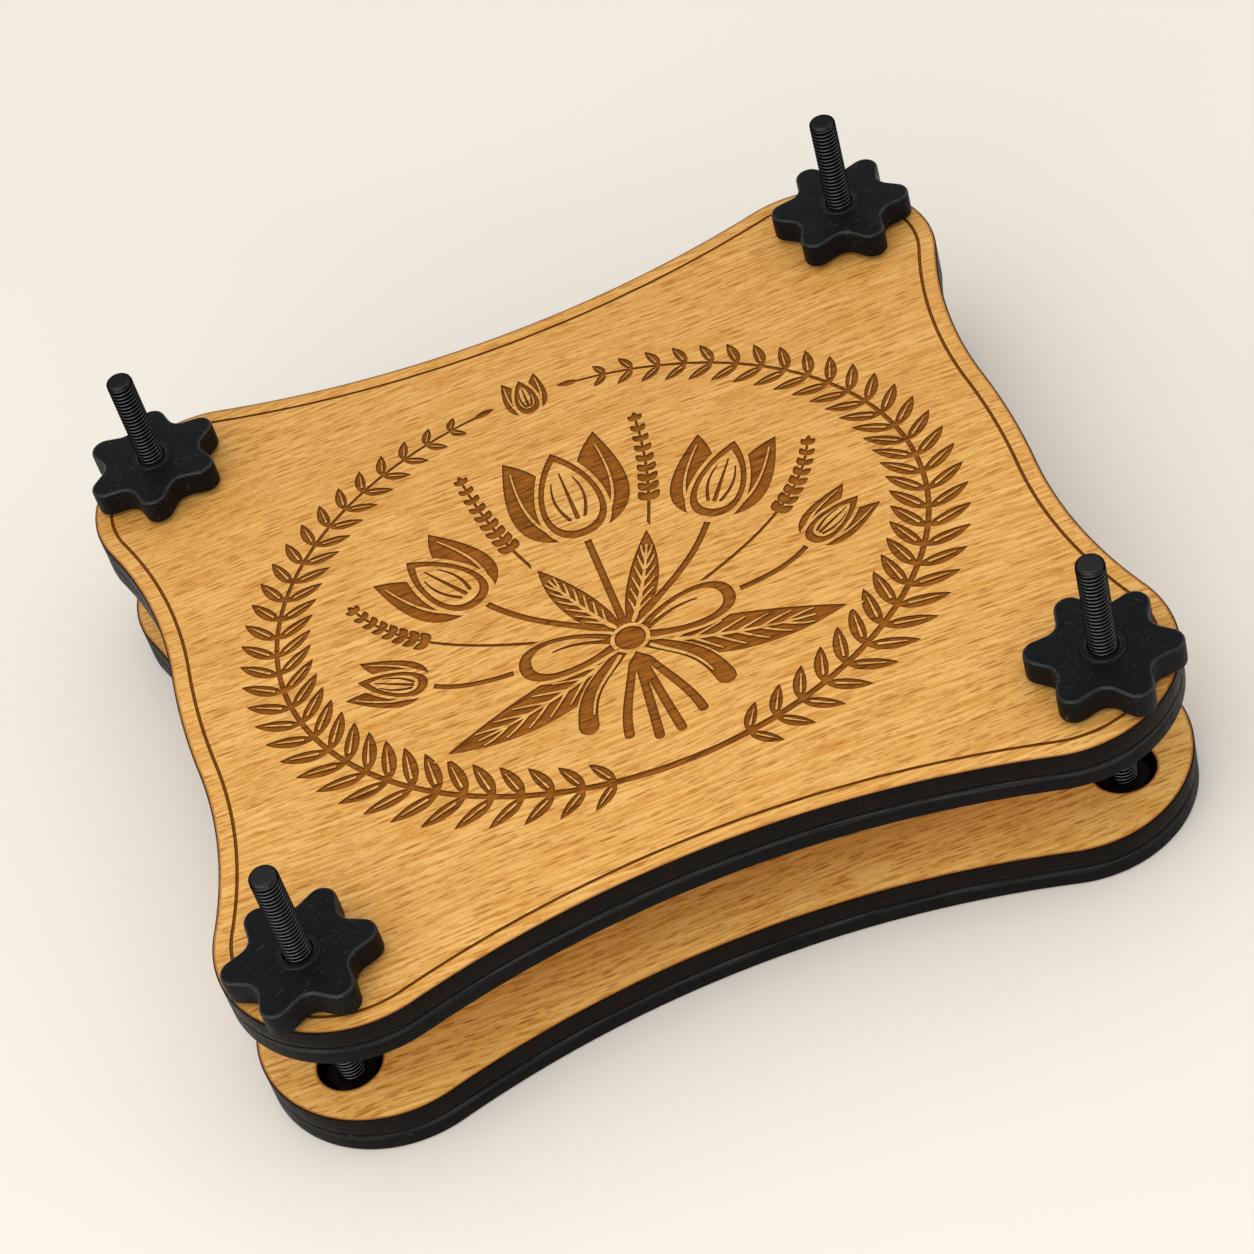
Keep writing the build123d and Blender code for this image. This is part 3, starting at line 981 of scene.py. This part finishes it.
class Bench:
    """A shader node tree, with short ways to add nodes to it and join them."""

    def __init__(self, tree):
        self.tree = tree
        tree.nodes.clear()

    def add(self, kind, inputs=None, **settings):
        """Adds a node; its inputs are set, or linked where a socket is given."""
        node = self.tree.nodes.new(kind)
        for name, value in settings.items():
            setattr(node, name, value)
        for key, value in (inputs or {}).items():
            if isinstance(value, bpy.types.NodeSocket):
                self.tree.links.new(value, node.inputs[key])
            else:
                node.inputs[key].default_value = value
        return node

    def math(self, operation, first, second=0.0, third=0.0):
        """A sum on values."""
        return self.add("ShaderNodeMath", {0: first, 1: second, 2: third}, operation=operation).outputs[0]

    def fade(self, value, start, end, low=0.0, high=1.0):
        """A value that goes smoothly from low to high as another goes from start to end."""
        given = {0: value, 1: start, 2: end, 3: low, 4: high}
        return self.add("ShaderNodeMapRange", given, interpolation_type="SMOOTHSTEP").outputs[0]

    def blend(self, share, first, second):
        """A mix of two colours."""
        colours = [c if isinstance(c, bpy.types.NodeSocket) else (*c, 1.0) for c in (first, second)]
        given = {0: share, 6: colours[0], 7: colours[1]}
        return self.add("ShaderNodeMix", given, data_type="RGBA").outputs[2]

    def place(self):
        """The place on the object in millimetres, as x, y and z."""
        spot = self.add("ShaderNodeTexCoord").outputs["Object"]
        scale = {0: spot, "Scale": 1 / MM}
        scaled_spot = self.add("ShaderNodeVectorMath", scale, operation="SCALE").outputs[0]
        return self.add("ShaderNodeSeparateXYZ", {0: scaled_spot}).outputs[:]

    def grid(self, x, y, z=0.0, steps=(1.0, 1.0, 1.0)):
        """A place counted in steps along each axis."""
        given = {i: self.math("DIVIDE", v, step) for i, (v, step) in enumerate(zip((x, y, z), steps))}
        return self.add("ShaderNodeCombineXYZ", given).outputs[0]

    def noise(self, where, detail=2.0, roughness=0.5):
        """Soft noise of about one step in size."""
        given = {"Vector": where, "Scale": 1.0, "Detail": detail, "Roughness": roughness}
        return self.add("ShaderNodeTexNoise", given).outputs[0]

    def spots(self, where, reach, spread, cover, dimensions="3D"):
        """Soft spots in a share of the steps that cover gives; their size varies from reach by spread."""
        given = {"Vector": where, "Scale": 1.0}
        cells = self.add("ShaderNodeTexVoronoi", given, voronoi_dimensions=dimensions)
        chance = self.add("ShaderNodeSeparateColor", {0: cells.outputs["Color"]}).outputs
        size = self.math("MULTIPLY_ADD", chance[0], spread, reach)
        spot = self.fade(cells.outputs["Distance"], size, self.math("MULTIPLY", size, CORE_SHARE))
        there = self.math("LESS_THAN", chance[1], cover)
        strength = self.math("MULTIPLY_ADD", chance[2], 1 - FAINTEST, FAINTEST)
        return self.math("MULTIPLY", self.math("MULTIPLY", spot, there), strength)

    def bump(self, height, distance):
        """A normal from a height, where a height of one is so far."""
        return self.add("ShaderNodeBump", {"Height": height, "Distance": distance}).outputs[0]

    def surface(self, **inputs):
        """The shader and the output; the words of an input's name are joined by underscores."""
        shader = self.add("ShaderNodeBsdfPrincipled", {k.replace("_", " "): v for k, v in inputs.items()})
        self.add("ShaderNodeOutputMaterial", {"Surface": shader.outputs[0]})


def shared_group(name, build, inputs, outputs):
    """A node group that is built once and then found by its name."""
    group = bpy.data.node_groups.get(name)
    if group is None:
        group = bpy.data.node_groups.new(name, "ShaderNodeTree")
        for socket, value in inputs.items():
            made = group.interface.new_socket(name=socket, in_out="INPUT", socket_type="NodeSocketFloat")
            made.default_value = value
        for socket in outputs:
            group.interface.new_socket(name=socket, in_out="OUTPUT", socket_type="NodeSocketFloat")
        bench = Bench(group)
        given = bench.add("NodeGroupInput").outputs
        bench.add("NodeGroupOutput", build(bench, given))
    return group


def beech_grain():
    """Grain along X: broad tones, fine fibres and short flecks, another stretch of it on each face."""

    def build(bench, given):
        x, y, z = bench.place()
        layer = 10.0
        shift = (173.0, 91.0)
        face = bench.math("ROUND", bench.math("DIVIDE", z, layer))
        x = bench.math("MULTIPLY_ADD", face, shift[0], x)
        y = bench.math("MULTIPLY_ADD", face, shift[1], y)
        sway = bench.noise(bench.grid(x, y, steps=(85.0, 45.0, 1.0)), 1.0)
        y = bench.math("MULTIPLY_ADD", sway, 9.0, y)
        wave = bench.noise(bench.grid(x, y, steps=(16.0, 5.0, 1.0)), 1.0)
        y = bench.math("MULTIPLY_ADD", wave, 0.9, y)
        tone = bench.fade(bench.noise(bench.grid(x, y, steps=(150.0, 10.0, 1.0)), 3.0), 0.3, 0.7)
        lines = bench.noise(bench.grid(x, y, steps=(14.0, 0.75, 1.0)), 2.0, 0.5)
        fibre = bench.fade(lines, 0.34, 0.66)
        cover = given["Fleck cover"]
        long_flecks = bench.spots(bench.grid(x, y, steps=(7.5, 1.15, 1.0)), 0.2, 0.16, cover, "2D")
        short_flecks = bench.spots(bench.grid(x, y, steps=(4.0, 0.95, 1.0)), 0.15, 0.13, cover, "2D")
        flecks = bench.math("MAXIMUM", long_flecks, bench.math("MULTIPLY", short_flecks, 0.8))
        fleck = bench.math("MULTIPLY", flecks, bench.math("MULTIPLY_ADD", fibre, -0.4, 1.0))
        pores = bench.math("MULTIPLY", fleck, -0.2)
        height = bench.math("MULTIPLY_ADD", fibre, 0.5, pores)
        return {"Tone": tone, "Fibre": fibre, "Fleck": fleck, "Height": height}

    return shared_group("Beech grain", build, {"Fleck cover": 0.7}, ("Tone", "Fibre", "Fleck", "Height"))


def char_streaks():
    """Burnt wood: streaks across the sheet's edge, lines along it and a few pale nicks."""

    def build(bench, given):
        x, y, z = bench.place()
        down = bench.noise(bench.grid(x, y, z, steps=(1.3, 1.3, 9.0)), 4.0, 0.65)
        along = bench.noise(bench.grid(x, y, z, steps=(14.0, 14.0, 0.45)), 3.0, 0.6)
        streak = bench.fade(bench.math("ADD", down, along), 0.8, 1.3)
        nick = bench.spots(bench.grid(x, y, z, steps=(4.0, 4.0, 1.6)), 0.05, 0.14, given["Nick cover"])
        return {"Streak": streak, "Nick": nick, "Along": bench.fade(along, 0.35, 0.7)}

    return shared_group("Char streaks", build, {"Nick cover": 0.1}, ("Streak", "Nick", "Along"))


def handling_marks():
    """Marks of use on black parts: light specks, fine scratches in two directions and a soft mottle."""

    def build(bench, given):
        x, y, z = bench.place()
        dusty = bench.fade(bench.noise(bench.grid(x, y, z, steps=(6.0, 6.0, 6.0)), 2.0), 0.42, 0.68)
        hub = bench.add("ShaderNodeAttribute", attribute_name="hub").outputs["Fac"]
        handled = bench.math("MAXIMUM", dusty, bench.fade(hub, 0.3, 1.0))
        cover = bench.math("MULTIPLY", handled, given["Speck cover"])
        speck = bench.spots(bench.grid(x, y, z, steps=(0.38, 0.38, 0.38)), 0.1, 0.25, cover)
        scratch_turns = (0.5, -0.9)
        lines = []
        for turn in scratch_turns:
            u = bench.math("MULTIPLY_ADD", x, math.cos(turn), bench.math("MULTIPLY", y, math.sin(turn)))
            v = bench.math("MULTIPLY_ADD", y, math.cos(turn), bench.math("MULTIPLY", x, -math.sin(turn)))
            where = bench.grid(u, v, z, steps=(5.0, 0.32, 4.0))
            lines.append(bench.spots(where, 0.08, 0.2, given["Scratch cover"]))
        mottle = bench.noise(bench.grid(x, y, z, steps=(2.6, 2.6, 2.6)), 4.0, 0.6)
        return {"Speck": speck, "Scratch": bench.math("MAXIMUM", *lines), "Mottle": mottle}

    inputs = {"Speck cover": 0.1, "Scratch cover": 0.1}
    return shared_group("Handling marks", build, inputs, ("Speck", "Scratch", "Mottle"))


def fine_skin():
    """The fine texture of moulded and blackened parts."""

    def build(bench, given):
        x, y, z = bench.place()
        step = given["Grain size"]
        height = bench.noise(bench.grid(x, y, z, steps=(step, step, step)), 2.0, 0.55)
        return {"Height": height}

    return shared_group("Fine skin", build, {"Grain size": 0.3}, ("Height",))


def material(name, build):
    """A material that is built once and then found by its name."""
    found = bpy.data.materials.get(name)
    if found is None:
        found = bpy.data.materials.new(name)
        found.use_nodes = True
        build(Bench(found.node_tree))
    return found


def beech(name, boards):
    """Oiled beech, singed beside its cut edges and darkened towards the back by painted shade; the base is
    of a paler cut.
    """
    pale, honey = {
        "oiled_beech": (boards.pale, boards.honey),
        "pale_beech": (boards.base_pale, boards.base_honey),
    }[name]

    def build(bench):
        grain = bench.add("ShaderNodeGroup", node_tree=beech_grain()).outputs
        ground = bench.blend(grain["Fibre"], honey, pale)
        toned = bench.blend(bench.math("MULTIPLY", grain["Tone"], 0.35), ground, honey)
        # Painted shade: the wood darkens towards the back, and a little towards the right.
        x, y, _ = bench.place()
        back = bench.fade(bench.math("MULTIPLY_ADD", x, 0.3, y), -60.0, 90.0, 0.0, 0.16)
        shaded_back = bench.blend(back, toned, boards.back_shade)
        flecked = bench.blend(bench.math("MULTIPLY", grain["Fleck"], 0.92), shaded_back, boards.fleck)
        burn = bench.add("ShaderNodeAttribute", attribute_name="burn").outputs["Fac"]
        uneven = bench.math("MULTIPLY_ADD", grain["Fibre"], 0.3, burn)
        singed = bench.blend(bench.fade(uneven, 0.35, 1.1), flecked, boards.singe)
        rough = bench.math("MULTIPLY_ADD", grain["Fleck"], 0.15, 0.46)
        bench.surface(Base_Color=singed, Roughness=rough, Specular_IOR_Level=0.25,
                      Normal=bench.bump(grain["Height"], boards.grain_depth))

    return material(name, build)


def engraved(engraving):
    """The burnt floor and walls of the engraving, with the grain showing through; the walls and the floor
    near them are darker, partly as burn and partly as painted shade.
    """

    def build(bench):
        grain = bench.add("ShaderNodeGroup", {"Fleck cover": 0.9}, node_tree=beech_grain()).outputs
        x, y, _ = bench.place()
        rows = bench.noise(bench.grid(x, y, steps=(5.0, 0.3, 1.0)), 2.0, 0.6)
        mixed = bench.math("MULTIPLY_ADD", grain["Fibre"], 0.45, bench.fade(rows, 0.3, 0.7, 0.0, 0.55))
        ground = bench.blend(mixed, engraving.dark, engraving.pale)
        # The walls, found by their facing, and the floor near them, found by occlusion, are darkened:
        # partly the burn at an engraving's edge, partly painted shade.
        facing = bench.add("ShaderNodeNewGeometry").outputs["True Normal"]
        level = bench.add("ShaderNodeSeparateXYZ", {0: facing}).outputs[2]
        wall = bench.fade(level, 0.9, 0.4, 0.0, 0.4)
        reach = {"Distance": engraving.wall_shade_reach}
        openness = bench.add("ShaderNodeAmbientOcclusion", reach, only_local=True, samples=8).outputs["AO"]
        rim = bench.fade(openness, 0.98, 0.74, 0.0, 0.75)
        fleck = bench.math("MULTIPLY", grain["Fleck"], 0.9)
        dark = bench.math("MAXIMUM", bench.math("MAXIMUM", fleck, rim), wall)
        colour = bench.blend(dark, ground, engraving.fleck)
        bench.surface(Base_Color=colour, Roughness=0.7, Specular_IOR_Level=0.1,
                      Normal=bench.bump(grain["Height"], engraving.grain_depth))

    return material("burnt_engraving", build)


def charred(name, boards):
    """Laser-burnt edge, warm brown-black on upper sheets and sooty on lower ones, with a painted highlight
    along the lower sheets' rounded upper edges.
    """
    dark = {"char_warm": boards.char_warm, "char_cool": boards.char_cool}[name]
    contrast = 2.4
    light = [contrast * c for c in dark]

    def build(bench):
        char = bench.add("ShaderNodeGroup", {"Nick cover": 0.08}, node_tree=char_streaks()).outputs
        streaked = bench.blend(char["Streak"], dark, light)
        # Painted highlight: pale grey along the marked upper edge of a lower sheet, broken by the lines
        # along the edge.
        wear_and_highlight_mask = bench.add("ShaderNodeAttribute", attribute_name="rubbed").outputs["Fac"]
        lines = bench.math("MULTIPLY_ADD", char["Along"], 0.85, 0.15)
        highlit = bench.math("MULTIPLY", bench.fade(wear_and_highlight_mask, 0.15, 1.0), lines)
        pale = bench.math("MAXIMUM", highlit, char["Nick"])
        colour = bench.blend(pale, streaked, boards.edge_highlight)
        rough = bench.math("MULTIPLY_ADD", char["Streak"], 0.2, 0.36)
        bench.surface(Base_Color=colour, Roughness=rough, Specular_IOR_Level=0.05,
                      Normal=bench.bump(char["Streak"], boards.char_depth))

    return material(name, build)


def black_part(bench, colour, mark, marks, rough, specular, skin_size, skin_depth, **more):
    """A black part's nodes: marks of use over its colour, and a fine skin."""
    given = {"Speck cover": marks[0], "Scratch cover": marks[1]}
    use = bench.add("ShaderNodeGroup", given, node_tree=handling_marks()).outputs
    skin_group = bench.add("ShaderNodeGroup", {"Grain size": skin_size}, node_tree=fine_skin())
    clouded = bench.blend(bench.fade(use["Mottle"], 0.4, 0.75, 0.0, 0.025), colour, mark)
    marked = bench.math("MAXIMUM", use["Speck"], bench.math("MULTIPLY", use["Scratch"], 0.5))
    worn = bench.blend(marked, clouded, mark)
    rough_value = bench.math("MULTIPLY_ADD", use["Mottle"], 0.16, rough - 0.08)
    bench.surface(Base_Color=worn, Roughness=rough_value, Specular_IOR_Level=specular,
                  Normal=bench.bump(skin_group.outputs["Height"], skin_depth), **more)


def polish_and_glint(bench, start, end, most):
    """How glossy a surface is on its rubbed edges, and where a bolt's thread has its painted glint."""
    wear_and_highlight_mask = bench.add("ShaderNodeAttribute", attribute_name="rubbed").outputs["Fac"]
    return bench.fade(wear_and_highlight_mask, start, end, 0.0, most)


def nylon(hardware):
    """Matt moulded black nylon with scuffs, rubbed smooth on its rims."""
    return material("moulded_nylon", lambda bench: black_part(
        bench, hardware.nylon, hardware.scuff, marks=(0.4, 0.16), rough=0.5, specular=0.09,
        skin_size=0.28, skin_depth=0.015 * MM, Specular_Tint=COOL_SHINE,
        Coat_Weight=polish_and_glint(bench, 0.2, 1.0, 0.6), Coat_Roughness=0.25, Coat_IOR=1.5))


def steel(hardware):
    """Blackened steel with a painted glint: reflective only on the upper flanks of the thread, where the
    front lamp's highlight falls, and black in the valleys as painted shade.
    """

    def build(bench):
        colour = bench.blend(polish_and_glint(bench, 0.0, 1.0, 1.0), hardware.steel, hardware.glint_colour)
        black_part(bench, colour, hardware.wear, marks=(0.03, 0.05), rough=0.2, specular=0.5,
                   skin_size=0.4, skin_depth=0.005 * MM, Metallic=1.0, Specular_Tint=BLACK_RIM)

    return material("blackened_steel", build)


def dull_steel(hardware):
    """Matt black steel."""
    return material("dull_steel", lambda bench: black_part(
        bench, hardware.steel, hardware.wear, marks=(0.03, 0.05), rough=0.5, specular=0.1,
        skin_size=0.4, skin_depth=0.01 * MM))


def bush_metal(hardware):
    """Blackened metal, worn a little brown and rubbed on its edges."""
    return material("blackened_bush", lambda bench: black_part(
        bench, hardware.bush, hardware.wear, marks=(0.12, 0.1), rough=0.45, specular=0.12,
        skin_size=0.5, skin_depth=0.02 * MM,
        Coat_Weight=polish_and_glint(bench, 0.2, 1.0, 0.3), Coat_Roughness=0.3, Coat_IOR=1.5))


def plain_material(name, colour):
    """A matt colour for the floor."""

    def build(bench):
        bench.surface(Base_Color=(*colour, 1.0), Roughness=0.9, Specular_IOR_Level=0.1)

    return material(name, build)


def set_world(stage):
    """Soft light from all round and most from above; the camera sees the backdrop's colour instead."""
    world = bpy.data.worlds.new("studio")
    world.use_nodes = True
    bench = Bench(world.node_tree)
    rays = bench.add("ShaderNodeLightPath").outputs
    seen = bench.math("MAXIMUM", rays["Is Camera Ray"], rays["Is Transmission Ray"])
    ahead = bench.add("ShaderNodeTexCoord").outputs["Generated"]
    rise = bench.math("MAXIMUM", bench.add("ShaderNodeSeparateXYZ", {0: ahead}).outputs[2], 0.0)
    all_round = 0.5 * stage.fill
    from_above = 0.75 * stage.fill
    level = bench.math("MULTIPLY_ADD", rise, from_above, all_round)
    light = bench.add("ShaderNodeCombineColor", {0: level, 1: level, 2: level}).outputs[0]
    colour = bench.blend(seen, light, stage.backdrop)
    background = bench.add("ShaderNodeBackground", {"Color": colour})
    bench.add("ShaderNodeOutputWorld", {"Surface": background.outputs[0]})
    bpy.context.scene.world = world


def set_camera(stage):
    """The camera of the main view."""
    azimuth = stage.azimuth
    elevation = stage.elevation
    back = Vector((math.sin(azimuth) * math.cos(elevation), -math.cos(azimuth) * math.cos(elevation),
                   math.sin(elevation)))
    level = Vector((math.cos(azimuth), math.sin(azimuth), 0.0))
    rise = back.cross(level)
    right = math.cos(stage.roll) * level + math.sin(stage.roll) * rise
    up = math.cos(stage.roll) * rise - math.sin(stage.roll) * level
    data = bpy.data.cameras.new("camera")
    data.lens = stage.lens
    camera = bpy.data.objects.new("camera", data)
    spot = right * stage.pan_right + up * stage.pan_up + back * stage.distance
    camera.matrix_world = Matrix.Translation(spot) @ Matrix((right, up, back)).transposed().to_4x4()
    bpy.context.scene.collection.objects.link(camera)
    bpy.context.scene.camera = camera


def set_light(name, spot, width, height, power):
    """A soft oblong light that points at the object."""
    data = bpy.data.lights.new(name, "AREA")
    data.shape = "RECTANGLE"
    data.size = width
    data.size_y = height
    data.energy = power
    light = bpy.data.objects.new(name, data)
    light.location = spot
    light.rotation_euler = Vector(spot).to_track_quat("Z", "Y").to_euler()
    bpy.context.scene.collection.objects.link(light)


class FLOWERPRESS_OT_cover(bpy.types.Operator):
    """Makes the engraved cover and the sheet under it"""

    bl_idname = "flower_press.make_cover"
    bl_label = "Make cover"

    def execute(self, context):
        settings = context.scene.flower_press
        boards = settings.boards
        mouths = (boards.bolt_hole, boards.bolt_hole)
        make_sheet(settings, "engraved_cover_sheet", "cover_top_panel", "cover", mouths, "char_warm",
                   drawing=engraved_design(boards, settings.engraving))
        make_sheet(settings, "cover_lower_sheet", "cover_bottom_panel", "cover", mouths, "char_cool",
                   top_round=boards.seam_round)
        return {"FINISHED"}


class FLOWERPRESS_OT_base(bpy.types.Operator):
    """Makes the base's two sheets, with recesses for the lock nuts and countersinks for the bolts"""

    bl_idname = "flower_press.make_base"
    bl_label = "Make base"

    def execute(self, context):
        settings = context.scene.flower_press
        boards = settings.boards
        recess = (boards.nut_recess, boards.nut_recess)
        sink = (boards.bolt_hole, boards.sink_radius)
        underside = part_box("base_bottom_panel")[0].z
        make_sheet(settings, "base_upper_sheet", "base_top_panel", "base", recess, "char_warm")
        # The lower sheet's floor round each nut is painted black as shade.
        make_sheet(settings, "base_lower_sheet", "base_bottom_panel", "base", sink, "char_cool",
                   steps=[(boards.bolt_hole, underside + boards.sink_depth)],
                   top_round=boards.seam_round, shaded_seat=1.2 * boards.nut_recess)
        return {"FINISHED"}


class FLOWERPRESS_OT_bolts(bpy.types.Operator):
    """Makes the four threaded bolts"""

    bl_idname = "flower_press.make_bolts"
    bl_label = "Make bolts"

    def execute(self, context):
        for corner in CORNERS:
            make_bolt(context.scene.flower_press.hardware, corner)
        return {"FINISHED"}


class FLOWERPRESS_OT_nuts(bpy.types.Operator):
    """Gives the four lock nuts their finish"""

    bl_idname = "flower_press.finish_nuts"
    bl_label = "Finish nuts"

    def execute(self, context):
        for corner in CORNERS:
            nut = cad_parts[f"lock_nut_{corner}"]
            nut.data.materials.clear()
            nut.data.materials.append(dull_steel(context.scene.flower_press.hardware))
        return {"FINISHED"}


class FLOWERPRESS_OT_knobs(bpy.types.Operator):
    """Makes the four star knobs and the bushes in them"""

    bl_idname = "flower_press.make_knobs"
    bl_label = "Make knobs"

    def execute(self, context):
        for corner in CORNERS:
            make_knob(context.scene.flower_press.hardware, corner)
            make_bush(context.scene.flower_press.hardware, corner)
        return {"FINISHED"}


class FLOWERPRESS_OT_stage(bpy.types.Operator):
    """Sets the floor, light and camera"""

    bl_idname = "flower_press.set_stage"
    bl_label = "Set stage"

    def execute(self, context):
        stage = context.scene.flower_press.stage
        bm = bmesh.new()
        bmesh.ops.create_grid(bm, x_segments=1, y_segments=1, size=stage.floor_reach)
        mesh = bpy.data.meshes.new("floor")
        bm.to_mesh(mesh)
        bm.free()
        mesh.materials.append(plain_material("floor", stage.floor))
        floor = bpy.data.objects.new("floor", mesh)
        floor.location.z = -stage.floor_drop
        context.scene.collection.objects.link(floor)
        set_world(stage)
        for name, (spot, width, height) in LIGHTS.items():
            set_light(name, spot, width, height, getattr(stage, name))
        set_camera(stage)
        context.scene.view_settings.view_transform = "Standard"
        return {"FINISHED"}


class FLOWERPRESS_PT_panel(bpy.types.Panel):
    """Settings and steps of the flower press"""

    bl_label = "Flower press"
    bl_idname = "FLOWERPRESS_PT_panel"
    bl_space_type = "VIEW_3D"
    bl_region_type = "UI"
    bl_category = "Flower press"

    def draw(self, context):
        settings = context.scene.flower_press
        for name in ("boards", "engraving", "hardware", "stage"):
            group = getattr(settings, name)
            box = self.layout.box()
            box.label(text=name.capitalize())
            for value in group.bl_rna.properties:
                if not value.is_readonly and value.identifier != "name":
                    box.prop(group, value.identifier)
        for operator in OPERATORS:
            self.layout.operator(operator.bl_idname)


OPERATORS = (
    FLOWERPRESS_OT_cover,
    FLOWERPRESS_OT_base,
    FLOWERPRESS_OT_bolts,
    FLOWERPRESS_OT_nuts,
    FLOWERPRESS_OT_knobs,
    FLOWERPRESS_OT_stage,
)
CLASSES = (
    BoardSettings,
    EngravingSettings,
    HardwareSettings,
    StageSettings,
    FlowerPressSettings,
    *OPERATORS,
    FLOWERPRESS_PT_panel,
)


def register():
    """Registers the classes and the scene's settings."""
    for cls in CLASSES:
        bpy.utils.register_class(cls)
    bpy.types.Scene.flower_press = PointerProperty(
        name="Flower press", description="Settings of the flower press", type=FlowerPressSettings)


def unregister():
    """Takes the settings and the classes away again."""
    del bpy.types.Scene.flower_press
    for cls in reversed(CLASSES):
        bpy.utils.unregister_class(cls)


def main():
    """Builds the flower press."""
    register()
    bpy.ops.flower_press.make_cover()
    bpy.ops.flower_press.make_base()
    bpy.ops.flower_press.make_bolts()
    bpy.ops.flower_press.finish_nuts()
    bpy.ops.flower_press.make_knobs()
    bpy.ops.flower_press.set_stage()


if __name__ == "__main__":
    main()
